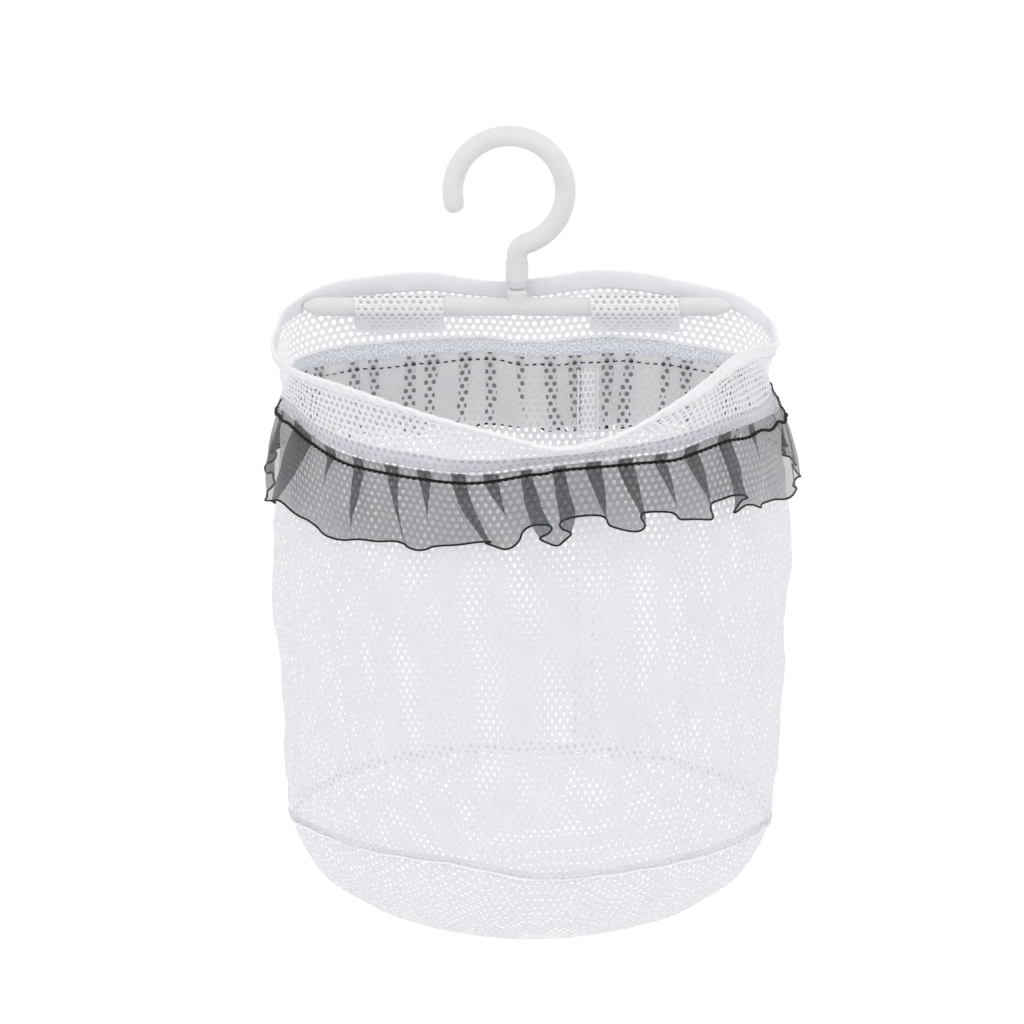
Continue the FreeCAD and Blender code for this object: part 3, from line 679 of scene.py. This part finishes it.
def sleeve(side):
    """A doubled layer of net round the bar, made as one mesh object."""
    low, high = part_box(f"sleeve_{side}")
    nets = []
    for layer, out in enumerate((0.0, 0.45 * MM)):
        line, step = sleeve_line(out)
        columns, rows = 13, int(step[-1] / ROW) + 1
        flat, faces = net(columns, rows, False)
        x = (flat[:, 0] - flat[:, 0].min()) / np.ptp(flat[:, 0])
        y = (flat[:, 1] - flat[:, 1].min()) / np.ptp(flat[:, 1])
        if layer:
            x, y = 1 - x, np.clip(y + 0.3 * ROW / step[-1], 0, 1)
            faces = [tuple(reversed(face)) for face in faces]
        along = y * step[-1]
        pucker = 0.25 * MM * np.sin(x * 23 + layer) * np.sin(y * 9)
        points = np.stack([
            low.x + (high.x - low.x) * x + 0.4 * MM * np.sin(y * 21),
            np.interp(along, step, line[:, 0]) - pucker,
            np.interp(along, step, line[:, 1]),
        ], 1)
        nets.append((points, faces, flat * PITCH, step[-1]))
    points, faces = joined([(entry[0], entry[1]) for entry in nets])
    uvs = np.concatenate([entry[2] for entry in nets])
    # The sleeves use the lighter net, whose extra lightness is painted light against the bar's shade.
    obj = make(f"sleeve_net_{side}", points, faces, uvs, BRIGHTENED_NET, "bag", "white_net", (f"sleeve_{side}",))


# --- Tapes ----------------------------------------------------------------------------------------

def strip(name, section, count, material, slot, nodes=(), wave=0.0, turns=60):
    """A tape round the bag: section is (height, out) pairs in metres, down the strip's width."""
    around = np.arange(count) / count
    section = np.asarray(section, float)
    height, out = section[:, 0][:, None], section[:, 1][:, None]
    pucker = wave * np.sin(2 * math.pi * turns * around + 0.7 * np.sin(14 * math.pi * around))
    points = bag(around[None, :], height, out + pucker[None, :])
    width = np.concatenate([[0], np.cumsum(np.hypot(*np.diff(section, axis=0).T))])
    u = np.broadcast_to(around * ROUND, (len(section), count))
    v = np.broadcast_to(width[:, None], (len(section), count))
    faces = [tuple(reversed(face)) for face in grid_faces(len(section), count, True)]
    return make(name, points, faces, np.stack([u, v], -1), material, "bag", slot, nodes)


def dashes(name, height, out, stitch, gap, radius, material, slot, nodes=(), length=ROUND):
    """A row of running stitches: short threads that dip into the cloth at both ends."""
    count = int(length / (stitch + gap))
    parts = []
    for number in range(count):
        start = number / count
        share = np.linspace(0, stitch / length, 5)
        rise = np.array([-0.9, 0.55, 1.0, 0.55, -0.9]) * radius
        line = bag(start + share, height, out + rise)
        parts.append(tube(line, radius, 5))
    points, faces = joined(parts)
    return make(name, points, faces, np.zeros((len(points), 2)), material, "bag", slot, nodes)


TOP = COLLAR
BINDING_SECTION = [
    (TOP - BIND, 0.15 * MM), (TOP - BIND + 0.2 * MM, 0.75 * MM), (TOP - BIND + 1.2 * MM, 0.95 * MM),
    (TOP - BIND / 2, 1.15 * MM), (TOP - 1.3 * MM, 1.1 * MM), (TOP - 0.45 * MM, 0.8 * MM),
    (TOP - 0.05 * MM, 0.0),
    (TOP - 0.45 * MM, -0.8 * MM), (TOP - 1.3 * MM, -1.1 * MM), (TOP - BIND / 2, -1.15 * MM),
    (TOP - BIND + 1.2 * MM, -0.95 * MM), (TOP - BIND + 0.2 * MM, -0.75 * MM), (TOP - BIND, -0.15 * MM),
]
binding = strip("rim_tape", BINDING_SECTION, 560, TAPE, "white_tape",
                nodes=("rim_binding",), wave=0.22 * MM, turns=96)
rim_rows = [
    dashes(f"rim_stitches_{number}", TOP - BIND + drop, 1.05 * MM, 2.6 * MM, 1.0 * MM, 0.24 * MM,
           THREAD, "white_thread", nodes=("rim_stitching",) if number == 0 else (), length=0.99)
    for number, drop in enumerate((1.3 * MM, BIND - 2.0 * MM))
]

TAPE_HALF = 4.3 * MM
TAPE_AT = 9.3 * MM
TAPE_SECTION = [
    (TAPE_AT + TAPE_HALF, -0.55 * MM), (TAPE_AT + TAPE_HALF - 0.3 * MM, -1.25 * MM), (TAPE_AT, -1.4 * MM),
    (TAPE_AT - TAPE_HALF + 0.3 * MM, -1.25 * MM), (TAPE_AT - TAPE_HALF, -0.55 * MM),
]
seam_tape = strip("seam_tape_inside", TAPE_SECTION, 480, SEAM_TAPE, "white_tape",
                  nodes=("seam_tape",), wave=0.2 * MM, turns=84)

# --- Back seam ------------------------------------------------------------------------------------

SEAM_LOW, SEAM_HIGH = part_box("back_seam")
BACK_SEAM_AT = 0.5 - ((SEAM_LOW.x + SEAM_HIGH.x) / 2 - BAG_X) / ROUND
BACK_SEAM_HALF = (SEAM_HIGH.x - SEAM_LOW.x) / 2 / ROUND


def back_seam():
    """A doubled strip of net down the back, with a row of thread along each edge."""
    flat, faces = net(4, 62, False, strand=0.32)
    x = (flat[:, 0] - flat[:, 0].min()) / np.ptp(flat[:, 0]) * 2 - 1
    y = (flat[:, 1] - flat[:, 1].min()) / np.ptp(flat[:, 1])
    height = -2 * MM - (SIDE - 4 * MM) * (1 - y)
    points = bag(BACK_SEAM_AT + x * BACK_SEAM_HALF, height, -0.9 * MM + 0.3 * MM * np.sin(y * 60))
    # The back seam uses the lighter net, whose extra lightness is painted light against the shade inside the
    # bag.
    net_top, net_low = parted(
        "back_seam_net", points, faces, flat * PITCH * 0.6, BRIGHTENED_NET, "white_net", ("back_seam",))
    down = np.linspace(-3 * MM, -SIDE + 4 * MM, 320)
    rows = []
    for edge in (-1, 1):
        wobble = 0.04 * BACK_SEAM_HALF * np.sin(down * 900)
        line = bag(BACK_SEAM_AT + edge * BACK_SEAM_HALF + wobble, down, -1.2 * MM)
        radius = 0.55 * MM * (1 + 0.25 * np.sin(np.arange(len(down)) * 1.9))
        rows.append(tube(line, radius, 5, out=(0, 1, 0)))
    points, faces = joined(rows)
    plain = np.zeros((len(points), 2))
    return net_top, net_low, *parted("back_seam_threads", points, faces, plain, THREAD, "white_thread")


back_top, back_net, back_threads_top, back_threads = back_seam()

# --- Foot: the bound seam between the side wall and the base -------------------------------------------

def foot_band():
    """The bound seam allowance that stands inside the foot."""
    section = ((-0.5, 0.0), (-0.9, 1.5), (-1.3, 3.2), (-1.8, 3.6), (-2.4, 3.2), (-2.2, 1.5), (-1.6, 0.0))
    section = np.array(section) * MM
    around = np.arange(420) / 420
    angle = around * 2 * math.pi
    wave = 0.25 * MM * np.sin(63 * angle)
    reach = BASE_R + 0.2 * MM + section[:, 0][:, None] + wave[None, :]
    high = foot_height(around)[None, :] + section[:, 1][:, None]
    x, y = BAG_X + reach * np.sin(angle), FOOT_Y - reach * np.cos(angle)
    points = np.stack([x, y, np.broadcast_to(high, reach.shape)], -1)
    faces = grid_faces(len(section), len(around), True)
    u = np.broadcast_to(around * BASE_R * 2 * math.pi, reach.shape)
    v = np.broadcast_to((np.arange(len(section)) * 2.2 * MM)[:, None], reach.shape)
    uvs = np.stack([u, v], -1)
    return make("foot_tape", points, faces, uvs, TAPE, "base", "white_tape", ("base_binding",))


def foot_line():
    """The thin corded line that shows outside the foot."""
    angle = np.arange(700) / 700 * 2 * math.pi
    reach = BASE_R + 1.0 * MM
    line = np.stack([
        BAG_X + reach * np.sin(angle), FOOT_Y - reach * np.cos(angle),
        foot_height(angle / (2 * math.pi)) + 0.3 * MM * np.sin(angle * 31),
    ], 1)
    points, faces = tube(line, 0.6 * MM * (1 + 0.12 * np.sin(angle * 350)), 7, closed=True)
    return make("foot_cord", points, faces, np.zeros((len(points), 2)), THREAD, "base", "white_thread")


foot_tape = foot_band()
foot_cord = foot_line()
foot_stitches = dashes("foot_stitches", -SIDE + 2.6 * MM, 0.5 * MM, 2.4 * MM, 1.1 * MM, 0.26 * MM,
                       THREAD, "white_thread", nodes=("base_stitching",), length=0.83)

# --- Ruffle -----------------------------------------------------------------------------------------

# The cloth of the ruffle: how far it stands above its stitch line, its width cut flat, and its length as a
# share of the way round the bag.
HEADER = 5.4 * MM
RUFFLE_WIDTH = 43 * MM
GATHER = 1.57
# The pleats in front, left to right: (around, fold where sewn, fold at the hem, depth of the hem's flutes,
# lean of the hem, all in mm, and how far down the fold is held).
FRONT_PLEATS = (
    (-0.262, 5.0, 3.0, 2.5, 0.0, 1.0), (-0.240, 6.0, 4.0, 3.5, -2.0, 1.5),
    (-0.208, 9.0, 4.0, 3.5, -5.0, 2.0), (-0.168, 19.0, 13.0, 3.5, -14.0, 3.0),
    (-0.135, 9.6, 0.0, 1.5, -6.0, 0.6), (-0.112, 8.8, 1.6, 1.6, -2.0, 3.6),
    (-0.086, 9.0, 2.6, 1.5, 10.0, 0.7), (-0.065, 8.4, 1.5, 2.5, 6.0, 0.8),
    (-0.043, 7.8, 5.0, 6.5, 18.0, 1.8), (-0.024, 8.0, 1.5, 10.0, 17.0, 1.0),
    (-0.003, 6.8, 5.8, 10.5, 9.0, 2.0), (0.016, 7.2, 6.2, 10.0, 2.0, 3.0),
    (0.037, 8.4, 3.8, 8.5, 5.0, 1.6), (0.056, 8.6, 2.6, 8.0, 6.0, 1.8),
    (0.080, 8.4, 3.4, 8.0, 7.0, 1.4), (0.101, 9.6, 0.5, 8.0, 7.0, 1.3),
    (0.130, 11.5, 15.0, 7.0, 2.0, 3.0), (0.159, 9.6, -1.0, 0.5, 3.0, 0.6),
    (0.202, 9.0, 3.0, -3.5, 2.0, 0.8), (0.243, 7.0, 3.0, -2.0, 0.0, 1.0),
    (0.275, 6.0, 3.0, 2.5, 0.0, 1.0),
)
BACK_PLEATS = 25
# How far the ruffle stands off the wall at its hem, besides its flutes, (around, mm).
FLARE_LINE = (
    (-0.42, 2.0), (-0.33, 1.0), (-0.27, 1.0), (-0.22, 2.5), (-0.17, 6.0), (-0.10, 3.5), (0.0, 3.0),
    (0.13, 3.0), (0.16, 6.0), (0.20, 6.0), (0.25, 6.0), (0.29, 3.0), (0.33, 1.0), (0.42, 2.0),
)


def at_side(around):
    """0 over the front, rising to 1 at the sides and round the back, where the ruffle lies closer."""
    return smooth((np.abs(wrapped(around)) - 0.22) / 0.04)


def pleats():
    """Every pleat round the bag, its sizes in metres."""
    start, stop = FRONT_PLEATS[-1][0], FRONT_PLEATS[0][0] + 1
    rows = list(FRONT_PLEATS)
    for number in range(1, BACK_PLEATS + 1):
        place = start + (stop - start) * (number + 0.25 * math.sin(number * 2.9)) / (BACK_PLEATS + 1)
        size = float(smooth((abs(float(wrapped(place))) - 0.31) / 0.06))
        rows.append((
            place, 6.8 + 0.8 * math.sin(number * 1.3), 3.0 + size * (2.5 + 2.0 * math.sin(number * 2.3)),
            2.5 + size * (5.5 + 3.0 * math.sin(number * 1.7)), size * 4.0 * math.sin(number * 0.9), 1.2,
        ))
    return np.array(rows) * np.array([1, MM, MM, MM, MM, 1])


PLEATS = pleats()


def pleat_values(around):
    """Phase, sewn fold, hem fold, hem depth, lean and hold at a place. Each pleat turns the phase by half."""
    first = PLEATS[0, 0]
    at = (np.asarray(around) - first) % 1.0 + first
    places = np.append(PLEATS[:, 0], first + 1)
    order = np.interp(at, places, np.arange(len(places)))
    near = np.rint(order).astype(int) % len(PLEATS)
    sewn, fold, hold = (PLEATS[near, k] for k in (1, 2, 5))
    depth, lean = (np.interp(at, places, np.append(PLEATS[:, k], PLEATS[0, k])) for k in (3, 4))
    return math.pi * (order - 0.5), sewn, fold, depth, lean, hold


def ruffle_points(around, down):
    """The ruffle's cloth: down is 0 at its top edge and 1 at its hem; its stitch line is at height 0."""
    drop = periodic(RUFFLE_DROP, around) * MM
    fall = down * (drop + HEADER) - HEADER
    free = np.clip(fall / drop, 0, 1)
    phase, sewn, fold, depth, lean, hold = pleat_values(around)
    slide = (sewn + (fold - sewn) * free**hold) * np.sin(2 * phase) + lean * free**1.1
    stand = (0.5 * MM * (1 - free) + depth * free) * np.cos(phase)
    flare = (np.abs(depth) + periodic(FLARE_LINE, around) * MM) * (1 - (1 - free) ** 2)
    head = np.clip(-fall / HEADER, 0, 1)
    close = at_side(around)
    out = (1.7 - 0.6 * close) * MM + 0.5 * MM * head + stand * (1 - 0.5 * close * (1 - free)) + flare
    points = bag(around + slide / ROUND, -fall, out)
    points[..., 2] -= 0.45 * depth * np.cos(phase) * free**1.5
    return points


def ruffle():
    """The sheer strip, and the rolled hem that follows its lower edge."""
    count, rows = len(PLEATS) * 18, 16
    around = np.arange(count) / count
    down = np.linspace(0, 1, rows)[:, None]
    points = ruffle_points(np.broadcast_to(around, (rows, count)), np.broadcast_to(down, (rows, count)))
    u = np.broadcast_to(around * ROUND * GATHER, (rows, count))
    v = np.broadcast_to(down * RUFFLE_WIDTH, (rows, count))
    faces = [tuple(reversed(face)) for face in grid_faces(rows, count, True)]
    uvs = np.stack([u, v], -1)
    obj = make("ruffle_cloth", points, faces, uvs, ORGANZA, "bag", "black_organza", ("ruffle",))
    hem_points, hem_faces = tube(points[-1], 0.58 * MM, 6, closed=True)
    plain = np.zeros((len(hem_points), 2))
    hem = make("ruffle_rolled_hem", hem_points, hem_faces, plain, HEM, "bag", "black_hem", ("ruffle_hem",))
    return obj, hem


ruffle_cloth, ruffle_hem = ruffle()


def gathering_threads():
    """The black thread that holds the pleats: stitches that rise over each fold and dip between."""
    around = np.arange(1400) / 1400
    wobble = 0.35 * MM * np.sin(2 * math.pi * 33 * around + 2 * np.sin(2 * math.pi * 4 * around))
    rise = 0.3 * MM * np.sin(2 * math.pi * 250 * around)
    close = at_side(around)
    fold = (0.5 - 0.25 * close) * MM * np.cos(pleat_values(around)[0])
    line = bag(around, wobble, (3.0 - 1.25 * close) * MM + fold + rise)
    radius = (0.85 - 0.4 * close) * MM * (1 + 0.2 * np.sin(2 * math.pi * 250 * around))
    points, faces = tube(line, radius, 6, closed=True)
    plain = np.zeros((len(points), 2))
    nodes = ("ruffle_stitching",)
    return make("ruffle_thread", points, faces, plain, BLACK_THREAD, "bag", "black_thread", nodes)


ruffle_thread = gathering_threads()

# --- Sleeves round the bar, one for each side --------------------------------------------------------

for side in ("left", "right"):
    sleeve(side)

# --- The lower wall pieces and the base, each given its own copy of its mesh -----------------------------

for piece in (body_net, back_net, back_threads, foot_stitches):
    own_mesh(piece)
for piece in (base_panel, foot_tape, foot_cord):
    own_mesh(piece)

# --- Floor, light and camera --------------------------------------------------------------------------

def floor():
    """A plain pale floor."""
    material = shader("pale_floor", (0.96, 0.96, 0.96), 0.95)[0]
    mesh = bpy.data.meshes.new("floor")
    mesh.from_pydata([(-6, -6, -1.3), (6, -6, -1.3), (6, 9, -1.3), (-6, 9, -1.3)], [], [(0, 1, 2, 3)])
    mesh.materials.append(material)
    obj = bpy.data.objects.new("floor", mesh)
    bpy.context.scene.collection.objects.link(obj)


def lamp(name, place, size, power, aim):
    """A square area light at a place, turned to its aim."""
    light = bpy.data.lights.new(name, "AREA")
    light.size, light.energy = size, power
    obj = bpy.data.objects.new(name, light)
    obj.location = place
    obj.rotation_euler = (Vector(aim) - Vector(place)).to_track_quat("-Z", "Y").to_euler()
    bpy.context.scene.collection.objects.link(obj)


MIDDLE = Vector((0.0, -0.12, -0.2))
floor()
lamp("key", (-1.4, -2.2, 1.6), 1.6, 9.0, MIDDLE)
lamp("fill", (1.8, -1.6, 0.6), 1.8, 3.0, MIDDLE)
world = bpy.data.worlds.new("white_room")
world.use_nodes = True
world.node_tree.nodes["Background"].inputs["Color"].default_value = (1.0, 1.0, 1.0, 1)
world.node_tree.nodes["Background"].inputs["Strength"].default_value = 1.06
bpy.context.scene.world = world
bpy.context.scene.view_settings.view_transform = "Standard"

ELEVATION = math.radians(14.5)
DISTANCE = 5.0
TARGET = Vector((0.00165, -0.120, -0.1798))
camera_data = bpy.data.cameras.new("camera")
camera_data.lens, camera_data.sensor_width = 319.6, 36.0
camera = bpy.data.objects.new("camera", camera_data)
camera.location = TARGET + DISTANCE * Vector((0, -math.cos(ELEVATION), math.sin(ELEVATION)))
camera.rotation_euler = (math.pi / 2 - ELEVATION, 0, 0)
bpy.context.scene.collection.objects.link(camera)
bpy.context.scene.camera = camera
